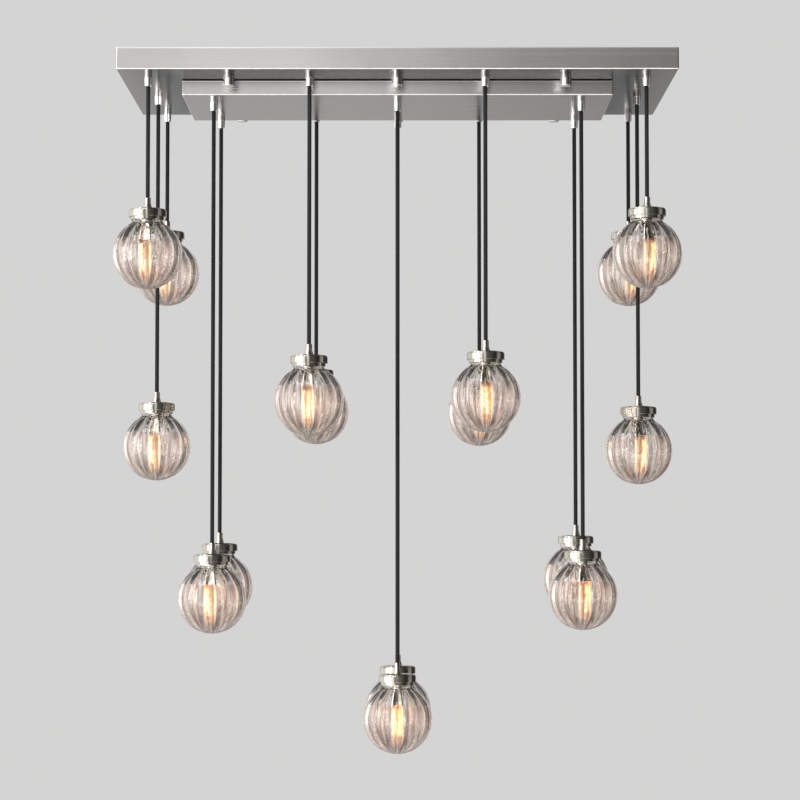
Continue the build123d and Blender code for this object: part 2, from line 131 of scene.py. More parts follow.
# %% A finish: one material and its nodes
class Finish:
    """A node tree, with one method that adds any node."""

    def __init__(self, name, world=None):
        self.owner = world or bpy.data.materials.new(name)
        self.owner.use_nodes = True
        self.tree = self.owner.node_tree
        self.shader = self.tree.nodes["Background" if world else "Principled BSDF"]

    def node(self, kind, settings=None, sockets=None, output=0):
        """Add a node: its settings first, then the values or links of its sockets."""
        made = self.tree.nodes.new(kind)
        for name, value in (settings or {}).items():
            if name == "stops":
                self.set_stops(made.color_ramp.elements, value)
            else:
                setattr(made, name, value)
        for key, value in (sockets or {}).items():
            self.plug(made.inputs[key], value)
        return Value(self, made.outputs[output])

    def set_stops(self, elements, stops):
        """Set a ramp's (place, colour) stops."""
        while len(elements) < len(stops):
            elements.new(1.0)
        for element, (place, colour) in zip(elements, stops):
            element.position = place
            element.color = colour

    def plug(self, socket, value):
        """Link a value to a socket, or set a plain number or colour on it."""
        if isinstance(value, Value):
            self.tree.links.new(value.socket, socket)
        else:
            socket.default_value = value

    def wear(self, sockets):
        """Set the shader's own sockets by name."""
        for name, value in sockets.items():
            self.plug(self.shader.inputs[name], value)
        return self.owner

    def math(self, operation, *values):
        """The result of a Math node."""
        return self.node("ShaderNodeMath", {"operation": operation}, dict(enumerate(values)))

    def outputs(self, made, *names):
        """Several outputs of the node behind a value."""
        return [Value(self, made.socket.node.outputs[name]) for name in names]

    def split(self, vector):
        """The three parts of a vector."""
        return self.outputs(self.node("ShaderNodeSeparateXYZ", {}, {0: vector}), 0, 1, 2)

    def join(self, x, y, z):
        """A vector from three numbers."""
        return self.node("ShaderNodeCombineXYZ", {}, {0: x, 1: y, 2: z})

    def stretch(self, place, *scale):
        """A place drawn out or squeezed along X, Y and Z."""
        return self.node("ShaderNodeVectorMath", {"operation": "MULTIPLY"}, {0: place, 1: scale})

    def noise(self, place, scale, detail=3.0, rough=0.5):
        """A cloud of values between 0 and 1."""
        return self.node("ShaderNodeTexNoise", {}, {"Vector": place, "Scale": scale, "Detail": detail,
                                                    "Roughness": rough})

    def blend(self, share, first, second):
        """A colour between two colours."""
        return self.node("ShaderNodeMix", {"data_type": "RGBA"}, {0: share, 6: first, 7: second}, 2)

    def step(self, value, low, high):
        """0 below low, 1 above high, and smooth between."""
        return self.node("ShaderNodeMapRange", {"interpolation_type": "SMOOTHSTEP"},
                         {0: value, 1: low, 2: high})

    def band(self, value, rise, fall):
        """1 between a smooth rise and a smooth fall, each from one value to another, and 0 elsewhere."""
        return self.step(value, *rise) * (1.0 - self.step(value, *fall))

    def bump(self, height, distance, strength=1.0):
        """A normal from a height, with the height's real size in metres."""
        return self.node("ShaderNodeBump", {}, {"Height": height, "Distance": distance, "Strength": strength})


print("shader helpers ready")

# %% [markdown]
# ## Drawing outlines and turning them
#
# Grips, nuts, ferrules, caps and globes are all turned on a lathe or blown in a round mould, so each is
# an outline spun about an upright axis. Stacked cylinders would do for the rough shape, but an outline
# gives grooves, tapers and arcs in one closed skin. An arc is itself a spin of the outline's last
# point. Sharp rings then get a small bevel, because a real edge always catches a line of light.

# %% Outlines
BEVEL_STEPS = 3
SAME_POINT = 1e-6


class Outline:
    """A line in the plane of radius and height, in millimetres."""

    def __init__(self, radius, height):
        self.mesh = bmesh.new()
        self.first = self.last = self.mesh.verts.new((radius * MM, 0, height * MM))

    def to(self, *corners):
        """Draw straight to each (radius, height) corner in turn."""
        for radius, height in corners:
            made = self.mesh.verts.new((radius * MM, 0, height * MM))
            self.mesh.edges.new((self.last, made))
            self.last = made
        return self

    def swing(self, radius, height, degrees, steps):
        """Draw an arc by spinning the last point about a centre."""
        made = bmesh.ops.spin(self.mesh, geom=[self.last], cent=(radius * MM, 0, height * MM),
                              axis=(0, -1, 0), angle=math.radians(degrees), steps=steps,
                              use_merge=False, use_duplicate=False)
        self.last = [item for item in made["geom_last"] if isinstance(item, bmesh.types.BMVert)][0]
        return self

    def close(self):
        """Draw back to the first point."""
        self.mesh.edges.new((self.last, self.first))
        return self

    def turn(self, steps, bevel=0.0, sharp=40.0):
        """Spin the outline into a closed solid, and bevel its sharp rings."""
        bmesh.ops.spin(self.mesh, geom=list(self.mesh.verts) + list(self.mesh.edges), cent=(0, 0, 0),
                       axis=(0, 0, 1), angle=math.tau, steps=steps, use_merge=True, use_duplicate=False)
        bmesh.ops.remove_doubles(self.mesh, verts=list(self.mesh.verts), dist=SAME_POINT)
        bmesh.ops.recalc_face_normals(self.mesh, faces=list(self.mesh.faces))
        if bevel:
            rings = [edge for edge in self.mesh.edges
                     if len(edge.link_faces) == 2 and edge.calc_face_angle() > math.radians(sharp)]
            bmesh.ops.bevel(self.mesh, geom=rings, offset=bevel * MM, offset_type="OFFSET",
                            segments=BEVEL_STEPS, profile=0.5, affect="EDGES", material=-1,
                            clamp_overlap=True)
        return self.mesh


print("outlines ready")


# %% From a bmesh to a finished piece
def smooth(mesh, angle=60.0):
    """Shade a bmesh smooth, apart from edges sharper than an angle."""
    for face in mesh.faces:
        face.smooth = True
    for edge in mesh.edges:
        edge.smooth = len(edge.link_faces) != 2 or edge.calc_face_angle(0) < math.radians(angle)
    return mesh


def keep_place(mesh):
    """Remember each point's place before the piece is moved, so that turned patterns follow it."""
    layer = mesh.verts.layers.float_vector.new("turned")
    for vert in mesh.verts:
        vert[layer] = vert.co
    return mesh


def finished(mesh, name, material, body, slot, *nodes, at=(0, 0, 0), even=True):
    """Make a piece from a copy of a bmesh, with its place in its mesh. The slot argument is not used.

    It rides on a body, takes the given material and stands for the given nodes. Even shading keeps flat and
    turned walls true right up to their small bevels."""
    data = bpy.data.meshes.new(name)
    mesh.to_mesh(data)
    data.transform(Matrix.Translation(at))
    data.materials.append(material)
    piece = bpy.data.objects.new(name, data)
    scene.collection.objects.link(piece)
    if even:
        shading = piece.modifiers.new("even shading", "WEIGHTED_NORMAL")
        shading.mode = "FACE_AREA"
        shading.weight = 50
        shading.keep_sharp = True
    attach(piece, body)
    if nodes:
        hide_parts(*nodes)
    return piece


def repeated(mesh, places):
    """One bmesh with a copy of another at each place."""
    data = bpy.data.meshes.new("pattern")
    mesh.to_mesh(data)
    made = bmesh.new()
    for place in places:
        before = len(made.verts)
        made.from_mesh(data)
        made.verts.ensure_lookup_table()
        bmesh.ops.translate(made, verts=made.verts[before:], vec=place)
    bpy.data.meshes.remove(data)
    return made


def middle_line(low, high):
    """X and Y of the upright line through the middle of a box."""
    return (low.x + high.x) / 2, (low.y + high.y) / 2


print("piece helpers ready")

# %% [markdown]
# ## Brushed nickel
#
# The canopy and the tray are nickel-plated sheet, brushed along their length. Brushing is thousands of
# fine parallel scratches. A picture of scratches would repeat, so they are a noise stretched a few
# hundred times along X on the long faces and the underside, and along Y on the end faces. It varies the
# roughness and makes a very small bump. A painted highlight turns the folds that look down, the cut edge
# against the ceiling and a thin band just under the tray's top near white. Painted shade darkens the
# undersides, the upright corners a little, and the folds that look up, which lie in the narrow gap
# between tray and canopy; it is darkest on the pan's underside close beside the tray.

# %% Brushed nickel
BRUSH_ALONG, BRUSH_ACROSS = 1.6, 700.0
SCRATCH_HEIGHT = 0.006 * MM
# How far, and how much more narrowly along X, painted shade reaches from the tray over the pan's underside.
TRAY_SHADE_REACH = 220.0 * MM
TRAY_SHADE_NARROW = 2.2
TRAY_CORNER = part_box("lower_canopy")[1]
LINE_SOFT = 0.6 * MM
SHEET_DARK, SHEET_LIGHT = (0.54, 0.515, 0.503, 1), (0.69, 0.668, 0.653, 1)
# Painted shade: the colour of the undersides, made darker by the factor under.
UNDERSIDE_SHADE_TONE = (0.62, 0.60, 0.585)
# Painted shade: on the upright corners, on the pan's underside beside the tray, and on the folds in the gap.
CORNER_SHADE, TRAY_SIDE_SHADE, GAP_SHADE = (0.22, 0.21, 0.205, 1), (0.03, 0.029, 0.028, 1), (0.07, 0.065, 0.06, 1)
# Painted highlight: the colour of the folds that look down and of the bright bands.
PAINTED_HIGHLIGHT = (0.95, 0.94, 0.925, 1)


def brushed_nickel(name, under, line_low, line_high, lean, near_tray):
    """Sheet brushed along X, and along Y on the faces that look along X.

    Under is how light the painted shade leaves the underside, and a painted highlight line runs round
    between two heights. Lean is how much the walls seem to tip downwards, as a wall does that was pressed
    with a slight draft. Near_tray is how dark the painted shade makes the underside beside the tray."""
    nickel = Finish(name)
    place = nickel.node("ShaderNodeTexCoord", output="Object")
    facing = nickel.node("ShaderNodeTexCoord", output="Normal")

    # Where a face looks tells whether it is an end, the underside, a fold, or a corner or gap.
    parts = nickel.split(facing)
    down = -parts[2]
    across, fore, upright = [abs(part) for part in parts]
    fold = 1.0 - nickel.step(across.math("MAXIMUM", fore).math("MAXIMUM", upright), 0.90, 0.995)
    ends = nickel.step(across, 0.6, 0.8)
    beneath = nickel.step(down, 0.95, 0.999)
    # Painted shade on the folds that look up, in the gap between tray and canopy.
    gap_shade = fold * nickel.step(parts[2], 0.10, 0.35)
    # Painted shade on the upright corners.
    corner = fold * (1.0 - nickel.step(upright, 0.2, 0.5))
    # Painted highlight on the folds that look down.
    highlight_folds = fold * nickel.step(down, 0.05, 0.30)

    # Height gives the painted highlight line, and the distance from the tray gives the painted shade beside
    # it.
    x, y, height = nickel.split(place)
    line = nickel.band(height, (line_low, line_low + LINE_SOFT), (line_high, line_high + LINE_SOFT))
    highlight_line = highlight_folds.math("MAXIMUM", line)
    beside_x = (abs(x) - TRAY_CORNER.x) * TRAY_SHADE_NARROW
    beside_y = abs(y) - TRAY_CORNER.y
    tarnish_and_shade = near_tray * (1.0 - nickel.step(beside_x.math("MAXIMUM", beside_y), 0.0, TRAY_SHADE_REACH))

    # Scratches and soft clouds vary the sheet, then each place gets its own tone.
    grain_x = nickel.noise(nickel.stretch(place, BRUSH_ALONG, BRUSH_ACROSS, BRUSH_ACROSS), 1.0, 4.0, 0.6)
    grain_y = nickel.noise(nickel.stretch(place, BRUSH_ACROSS, BRUSH_ALONG, BRUSH_ACROSS), 1.0, 4.0, 0.6)
    grain = grain_x * (1.0 - ends) + grain_y * ends
    clouds = nickel.noise(place, 4.0, 3.0)
    level = nickel.step(grain * 0.45 + clouds * 0.55, 0.25, 0.75)
    sheet = nickel.blend(level, SHEET_DARK, SHEET_LIGHT)
    # Painted shade: the underside is darker, by the factor under.
    underside_shade = [part * under for part in UNDERSIDE_SHADE_TONE] + [1]
    sheet = nickel.blend(beneath * (0.75 + 0.25 * level), sheet, underside_shade)
    # Painted shade darkens the upright corners a little.
    sheet = nickel.blend(corner * 0.85, sheet, CORNER_SHADE)
    # Painted shade on the underside beside the tray.
    sheet = nickel.blend(beneath * tarnish_and_shade, sheet, TRAY_SIDE_SHADE)
    # Painted highlight along the folds that look down and the band between line_low and line_high.
    sheet = nickel.blend(highlight_line, sheet, PAINTED_HIGHLIGHT)
    # Painted shade on the folds in the gap, over all the rest.
    return nickel.wear({
        "Base Color": nickel.blend(gap_shade, sheet, GAP_SHADE),
        "Metallic": 1.0,
        "Roughness": 0.22 + 0.08 * grain,
        "Normal": nickel.bump(grain * (1.0 - fold) * SCRATCH_HEIGHT + height * lean, 1.0),
    })


pan_nickel = brushed_nickel("pan_nickel", under=0.54, line_low=-2.0 * MM, line_high=0.5 * MM,
                            lean=0.0, near_tray=0.92)
tray_nickel = brushed_nickel("tray_nickel", under=0.84, line_low=-39.9 * MM, line_high=-38.6 * MM,
                             lean=0.07, near_tray=0.0)
print("brushed nickel ready,", len(pan_nickel.node_tree.nodes), "nodes")

# %% [markdown]
# ## Turned and polished nickel
#
# Grips and thumb nuts are polished, so they mirror the room in bright and dark bands. Caps, collars and
# ferrules are satin, with the faint rings that a lathe leaves. Object coordinates are measured from the
# middle of the canopy, not of each lamp, so the rings follow each piece's own radius and height, which
# the pieces carry with them in the attribute named turned.

# %% Turned metals
RING_HEIGHT = 0.02 * MM


def own_place(finish):
    """Radius, turn and height of a point on its own piece, in metres and radians."""
    place = finish.node("ShaderNodeAttribute", {"attribute_name": "turned"}, output="Vector")
    x, y, z = finish.split(place)
    radius = (x * x + y * y) ** 0.5
    return place, radius, y.math("ARCTAN2", x), z


def turned_nickel(name, dark, light, rough, spread, rings):
    """Nickel with lathe rings and a little tarnish."""
    nickel = Finish(name)
    place, radius, _, z = own_place(nickel)
    ring = nickel.noise(nickel.join(radius * rings, 0.0, z * rings), 1.0, 3.0, 0.6)
    tarnish_and_shade = nickel.noise(place, 60.0, 2.0)
    level = nickel.step(ring * 0.6 + tarnish_and_shade * 0.4, 0.3, 0.7)
    return nickel.wear({
        "Base Color": nickel.blend(level, dark, light),
        "Metallic": 1.0,
        "Roughness": rough + spread * (ring * 0.5 + tarnish_and_shade * 0.5),
        "Normal": nickel.bump(ring, RING_HEIGHT, 0.15),
    })


satin_nickel = turned_nickel("fitting_nickel", (0.42, 0.39, 0.34, 1), (0.55, 0.52, 0.46, 1),
                             rough=0.11, spread=0.06, rings=1500.0)
grip_nickel = turned_nickel("grip_nickel", (0.84, 0.83, 0.81, 1), (0.94, 0.93, 0.91, 1),
                            rough=0.18, spread=0.06, rings=1200.0)
bright_nickel = turned_nickel("polished_nickel", (0.82, 0.81, 0.79, 1), (0.92, 0.91, 0.89, 1),
                              rough=0.05, spread=0.06, rings=1200.0)
print("turned nickel ready,", len(satin_nickel.node_tree.nodes), "nodes")

# %% [markdown]
# ## Black fabric cord
#
# Each lamp hangs on a round cable with a braided black cotton cover. Modelled threads would cost
# millions of faces for a cord ten pixels wide. The braid is two sets of threads that cross, so in the
# cord's own length and turn they are two slanting waves, and the thread on top is the higher of the
# two. A little fuzz brightens the cover at its edges.

# %% Fabric
BRAID_TURNS = 12.0
BRAIDS_PER_METRE = 900.0
THREAD_HEIGHT = 0.1 * MM
CLOTH_DARK, CLOTH_LIGHT = (0.013, 0.012, 0.0125, 1), (0.021, 0.0195, 0.0205, 1)


def cord_fabric():
    """Two crossing sets of threads round a cord."""
    cloth = Finish("cord_fabric")
    place = cloth.node("ShaderNodeTexCoord", output="Object")
    around = cloth.split(cloth.node("ShaderNodeTexCoord", output="UV"))[1] * (BRAID_TURNS * math.tau)
    along = cloth.split(place)[2] * (BRAIDS_PER_METRE * math.tau)
    one = (around + along).math("SINE") * 0.5 + 0.5
    other = (around - along).math("SINE") * 0.5 + 0.5
    thread = one.math("MAXIMUM", other)
    fuzz = cloth.noise(place, 2400.0, 2.0)
    level = cloth.step(thread * 0.7 + fuzz * 0.3, 0.3, 0.95)
    return cloth.wear({
        "Base Color": cloth.blend(level, CLOTH_DARK, CLOTH_LIGHT),
        "Roughness": 0.95 - 0.25 * level,
        "Sheen Weight": 0.03,
        "Sheen Roughness": 0.5,
        "Specular IOR Level": 0.25,
        "Normal": cloth.bump(thread, THREAD_HEIGHT, 0.3),
    })


black_fabric = cord_fabric()
print("fabric ready,", len(black_fabric.node_tree.nodes), "nodes")

# %% [markdown]
# ## Cords
#
# The weight of its lamp pulls each cord straight, so its curve has only its two ends and a point near
# each. It runs from the pivot inside its grip to the pivot inside its ferrule. A curve with a round
# bevel is enough: the braid is in the material. A cord's length is the part of the model's own solid
# between the two pivots.

# %% Cords
CORD_R = 3.4 * MM
CORD_NEAR_END = 12 * CORD_R


def hanging_cord(number):
    """A straight cord between the two pivots of the measured one, and the place of its top and its length."""
    body = node = f"cord_{number}"
    low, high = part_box(node)
    x, y = middle_line(low, high)
    top, bottom = high.z - CORD_R, low.z + CORD_R
    line = bpy.data.curves.new(f"fabric_cord_{number}", "CURVE")
    line.dimensions = "3D"
    line.bevel_depth = CORD_R
    line.bevel_resolution = 6
    line.use_fill_caps = True
    line.resolution_u = 4
    route = line.splines.new("NURBS")
    heights = (top, top - CORD_NEAR_END, bottom + CORD_NEAR_END, bottom)
    route.points.add(len(heights) - 1)
    for point, z in zip(route.points, heights):
        point.co = (x, y, z, 1.0)
    route.order_u = 3
    route.use_endpoint_u = True
    line.materials.append(black_fabric)
    piece = bpy.data.objects.new(f"fabric_cord_{number}", line)
    scene.collection.objects.link(piece)
    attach(piece, body)
    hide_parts(node)
    return piece, Vector((x, y, top)), top - bottom


cords = {number: hanging_cord(number) for number in LAMPS}
print("cords", len(cords), "longest", round(max(length for _, _, length in cords.values()), 4), "m")

# %% [markdown]
# ## The upper canopy and the tray
#
# Both are folded from sheet. The measured solids have the right size, but their folds are a little
# tight. A folded sheet has a small outside radius at every fold, and that radius is what draws the
# bright line along the lower edges. So each starts as a block, loses its open side, gets a bevel on its
# folds, and then a wall of the sheet's real thickness.

# %% Folded sheet pieces
SHEET = 1.5 * MM
FOLD_ROUND, FOLD_STEPS = 2.2 * MM, 4
FLANGE = 15.0 * MM
PAN_NODES = ("upper_canopy_floor", "upper_canopy_long_walls", "upper_canopy_end_walls")


def joint_box(*nodes):
    """The box round several nodes."""
    corners = [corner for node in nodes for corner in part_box(node)]
    return (Vector(min(c[i] for c in corners) for i in range(3)),
            Vector(max(c[i] for c in corners) for i in range(3)))


def block(low, high):
    """A plain block between two corners."""
    mesh = bmesh.new()
    bmesh.ops.create_cube(mesh, size=1.0)
    bmesh.ops.scale(mesh, vec=high - low, verts=mesh.verts)
    bmesh.ops.translate(mesh, vec=(high + low) / 2, verts=mesh.verts)
    return mesh


def faces_up(mesh):
    """The faces that look up."""
    return [face for face in mesh.faces if face.normal.z > 0.9]


def folded(mesh, edges):
    """Round an open box's folds, and give it the sheet's thickness, inwards."""
    bmesh.ops.bevel(mesh, geom=edges, offset=FOLD_ROUND, offset_type="OFFSET", segments=FOLD_STEPS,
                    profile=0.5, affect="EDGES", material=-1)
    bmesh.ops.recalc_face_normals(mesh, faces=list(mesh.faces))
    if sum(f.calc_center_median().dot(f.normal) for f in mesh.faces if abs(f.normal.y) > 0.9) < 0:
        bmesh.ops.reverse_faces(mesh, faces=list(mesh.faces))
    bmesh.ops.solidify(mesh, geom=list(mesh.faces), thickness=SHEET)
    return smooth(mesh, 40.0)


def folded_pan(low, high):
    """An open pan with rounded folds."""
    mesh = block(low, high)
    bmesh.ops.delete(mesh, geom=faces_up(mesh), context="FACES_ONLY")
    return folded(mesh, [edge for edge in mesh.edges if len(edge.link_faces) == 2])


def folded_tray(low, high):
    """A tray whose long sides turn in at the top as flanges."""
    mesh = block(low, high)
    for side in (-1, 1):
        bmesh.ops.bisect_plane(mesh, geom=list(mesh.verts) + list(mesh.edges) + list(mesh.faces),
                               plane_co=(0, side * (high.y - FLANGE), 0), plane_no=(0, 1, 0))
    middle = [face for face in faces_up(mesh) if abs(face.calc_center_median().y) < high.y - FLANGE]
    bmesh.ops.delete(mesh, geom=middle, context="FACES_ONLY")
    return folded(mesh, [edge for edge in mesh.edges
                         if len(edge.link_faces) == 2 and edge.calc_face_angle() > 1.0])


pan_low, pan_high = joint_box(*PAN_NODES)
tray_low, tray_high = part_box("lower_canopy")
finished(folded_pan(pan_low, pan_high), "upper_pan", pan_nickel, "canopy", "brushed_nickel", *PAN_NODES)
finished(folded_tray(tray_low, tray_high), "lower_tray", tray_nickel, "canopy", "brushed_nickel",
         "lower_canopy")
print("pan", [round(v, 4) for v in pan_high - pan_low], "tray", [round(v, 4) for v in tray_high - tray_low])

# %% [markdown]
# ## Cord grips and thumb nuts
#
# A grip is a tapered strain relief: a straight collar, a ring groove, then a taper to a flared mouth
# that lets the cord swing. A thumb nut is a short turned barrel with a narrower collar at the top. Both
# are only about ten pixels wide in the photograph, but their bright rims are what the eye finds there.

# %% Grips (all outlines are in millimetres)
GRIP_LENGTH, GRIP_R, GRIP_COLLAR, GRIP_GROOVE = 20.0, 6.7, 6.5, 0.5
GRIP_STEM_R, GRIP_STEM_TOP = 4.95, 7.0
GRIP_BORE_R, GRIP_MOUTH_R, GRIP_LIP, GRIP_PIVOT = 3.82, 4.89, 0.9, 16.0
TAIL_R, TAIL_END = 3.45, 12.3


def grip():
    """Outline of a grip, from the top of its stem round to its bore."""
    line = Outline(TAIL_R, GRIP_STEM_TOP)
    line.to((GRIP_STEM_R, GRIP_STEM_TOP), (GRIP_STEM_R, 0), (GRIP_R, 0), (GRIP_R, -GRIP_COLLAR))
    line.to((GRIP_R - GRIP_GROOVE, -GRIP_COLLAR), (GRIP_R - GRIP_GROOVE, -GRIP_COLLAR - GRIP_GROOVE))
    line.to((GRIP_R, -GRIP_COLLAR - GRIP_GROOVE), (GRIP_MOUTH_R + GRIP_LIP, -GRIP_LENGTH))
    line.to((GRIP_MOUTH_R, -GRIP_LENGTH), (GRIP_BORE_R, -GRIP_PIVOT))
    line.to((GRIP_BORE_R, -TAIL_END), (TAIL_R, -TAIL_END))
    return smooth(keep_place(line.close().turn(48, 0.25)))


grip_places = [top + Vector((0, 0, GRIP_PIVOT * MM)) for _, top, _ in cords.values()]
finished(repeated(grip(), grip_places), "grip_bodies", grip_nickel, "canopy", "polished_nickel", "cord_grips")
print("grips", len(grip_places))

# %% Thumb nuts
NUT_R, NUT_LENGTH, NUT_COLLAR_R, NUT_COLLAR, NUT_GROOVE, NUT_ROUND = 9.3, 20.0, 8.3, 4.0, 0.6, 1.6
NUT_BORE_R, NUT_BORE = 3.05, 16.0


def thumb_nut():
    """Outline of a thumb nut, from its bore's end round to its flat bottom."""
    line = Outline(0, -NUT_BORE)
    line.to((NUT_BORE_R, -NUT_BORE), (NUT_BORE_R, 0), (NUT_COLLAR_R, 0))
    line.to((NUT_COLLAR_R, -NUT_COLLAR + NUT_GROOVE), (NUT_COLLAR_R - NUT_GROOVE, -NUT_COLLAR + NUT_GROOVE))
    line.to((NUT_COLLAR_R - NUT_GROOVE, -NUT_COLLAR))
    line.to((NUT_R, -NUT_COLLAR), (NUT_R, -NUT_LENGTH + NUT_ROUND))
    line.swing(NUT_R - NUT_ROUND, -NUT_LENGTH + NUT_ROUND, -90, 6).to((0, -NUT_LENGTH))
    return smooth(keep_place(line.turn(48, 0.3)))


nut_low, nut_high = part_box("thumb_nuts")
nut_x = [nut_low.x + NUT_R * MM, (nut_low.x + nut_high.x) / 2, nut_high.x - NUT_R * MM]
nut_y = [nut_low.y + NUT_R * MM, nut_high.y - NUT_R * MM]
nut_places = [Vector((x, y, nut_high.z)) for y in nut_y for x in nut_x]
finished(repeated(thumb_nut(), nut_places), "thumb_nut_set", bright_nickel, "canopy", "polished_nickel",
         "thumb_nuts")
print("thumb nuts", len(nut_places))

# %% [markdown]
# ## Moulded glass
#
# The globe is thick clear glass from a ribbed mould. Its upper cap is smooth and clear, and from a sharp
# line downwards fine level ripples break up what is seen through it. Real walls, an outer and an inner
# one, let the renderer bend the light twice, and that makes the bright and dark bands of each rib. The
# colour is faintly warm. Below the line it deepens a little with the ripples, and more as painted shade
# in broad upright streaks, in the valleys and towards the bottom. A faint painted glow on the clearer
# streaks stands for the lamp's own light that the ripples catch, because a clear surface can't scatter it.

# %% Glass finishes
RIBS = 16
STRIPES = 14
RIPPLE_TOP, RIPPLE_PITCH, RIPPLE_HEIGHT = 23.0 * MM, 2.5 * MM, 0.5 * MM
RIPPLE_LINE = 0.5 * MM
BOTTOM_FROM, BOTTOM_TO = -55 * MM, -10 * MM
# Faintly warm clear glass, and the deeper tint of the painted shade.
GLASS_CLEAR, GLASS_SHADED = (1.0, 0.975, 0.955, 1), (0.68, 0.565, 0.505, 1)
UNLIT, CAUGHT_LIGHT = (0.0, 0.0, 0.0, 1), (1.0, 0.82, 0.71, 1)


def moulded_glass():
    """Clear ribbed glass with ripples below the line."""
    glass = Finish("clear_glass")
    _, radius, turn, z = own_place(glass)
    rippled = 1.0 - glass.step(z, RIPPLE_TOP - RIPPLE_LINE, RIPPLE_TOP + RIPPLE_LINE)
    valley = 0.5 + 0.5 * (turn * RIBS).math("COSINE")
    low = 1.0 - glass.step(z, BOTTOM_FROM, BOTTOM_TO)
    # Grain is the fine level ripples, and streak the broad upright streaks of painted shade and glow.
    grain = glass.noise(glass.join(turn * 14.0, z / RIPPLE_PITCH, radius * 60.0), 1.0, 2.0, 0.6)
    streak = glass.noise(glass.join(turn * 9.0, z * 9.0, 0.0), 1.0, 3.0, 0.6)
    # Below the line the tint deepens a little with the ripples, and as painted shade in the darker streaks,
    # the valleys and towards the bottom.
    shade = (glass.step(streak, 0.44, 0.60) * 0.5 + grain * 0.3 + valley * 0.1 + low * 0.2) * rippled
    # Painted glow on the clearer streaks, weaker towards the bottom, for the lamp's light that the ripples
    # catch.
    sparkle = glass.step(1.0 - streak, 0.46, 0.62) * (0.3 + glass.step(1.0 - grain, 0.42, 0.60)) * rippled
    return glass.wear({
        "Base Color": glass.blend(shade, GLASS_CLEAR, GLASS_SHADED),
        "Transmission Weight": 1.0,
        "IOR": 1.47,
        "Roughness": 0.004 + 0.012 * rippled,
        "Emission Color": glass.blend(sparkle * (1.0 - 0.4 * low), UNLIT, CAUGHT_LIGHT),
        "Emission Strength": 0.20,
        "Normal": glass.bump(grain * rippled, RIPPLE_HEIGHT, 0.35),
    })


def bulb_glass():
    """Thin clear glass that glows where the filament is."""
    glass = Finish("bulb_glass")
    place, _, turn, z = own_place(glass)
    haze = glass.noise(place, 120.0, 2.0)
    stripe = 0.5 + 0.5 * (turn * STRIPES).math("COSINE")
    bright = glass.band(z, (-47 * MM, -24 * MM), (14 * MM, 26 * MM)) * (0.45 + 0.55 * stripe)
    return glass.wear({
        "Base Color": glass.blend(haze, (1.0, 0.92, 0.82, 1), (0.98, 0.86, 0.72, 1)),
        "Transmission Weight": 1.0,
        "IOR": 1.25,
        "Roughness": 0.02 + 0.03 * haze,
        "Emission Color": glass.blend(bright, (0.34, 0.13, 0.04, 1), (1.0, 0.52, 0.22, 1)),
        "Emission Strength": 0.08,
    })


def glowing_wire():
    """Filament wire, white hot in the middle of its height and orange at its ends."""
    wire = Finish("filament")
    place, _, _, z = own_place(wire)
    hot = wire.band(z, (-40 * MM, -22 * MM), (16 * MM, 24 * MM))
    flicker = wire.noise(place, 500.0, 2.0)
    return wire.wear({
        "Base Color": wire.blend(flicker, (0.9, 0.5, 0.2, 1), (1.0, 0.7, 0.4, 1)),
        "Roughness": 0.6,
        "Emission Color": wire.blend(hot, (1.0, 0.34, 0.09, 1), (1.0, 0.80, 0.58, 1)),
        "Emission Strength": 1.7,
    })


clear_glass, thin_glass, hot_wire = moulded_glass(), bulb_glass(), glowing_wire()
for material in (clear_glass, thin_glass, hot_wire):
    material.cycles.emission_sampling = "NONE"
print("glass finishes ready")

# %% [markdown]
# ## The ribbed globe
#
# The outline is a circle with a small flare into a short neck. It is turned in steps that divide evenly
# by the number of ribs. A bump in the finish would leave the outline smooth, so the ribs are real: each
# outer point moves inwards by how far it is from its rib's crest, and the crests stay on the measured
# sphere. The ribs fade out at the neck and at the bottom pole, as in the mould. One crest faces the
# front.

# %% Globe (millimetres)
GLOBE_R, GLASS_WALL, NECK_R, NECK_ROUND = 57.2, 3.6, 25.0, 6.0
NECK_TOP, THREAD_BOTTOM, THREAD = 59.6, 57.0, 1.0
RIB_DEPTH, RIB_TOP, RIB_NECK_FADE, RIB_POLE_FADE = 2.8, 52.5, 14.0, 16.0
HAIR = 0.02
OUTER_SKIN = 0.5
GLOBE_TURNS = RIBS * 8


def rib_depth(turn, height):
    """How far a point moves in, from its turn about the axis and its height above the centre, in mm."""
    share = (RIBS * (turn + math.pi / 2) / math.tau + 0.5) % 1.0 - 0.5
    lobe = 0.65 * (2 * share) ** 2 + 0.35 * (1 - math.cos(math.tau * share)) / 2
    pole = min(1.0, (height + GLOBE_R) / RIB_POLE_FADE)
    neck = min(1.0, max(0.0, (RIB_TOP - height) / RIB_NECK_FADE))
    return RIB_DEPTH * lobe * math.sqrt(pole) * neck ** 0.7


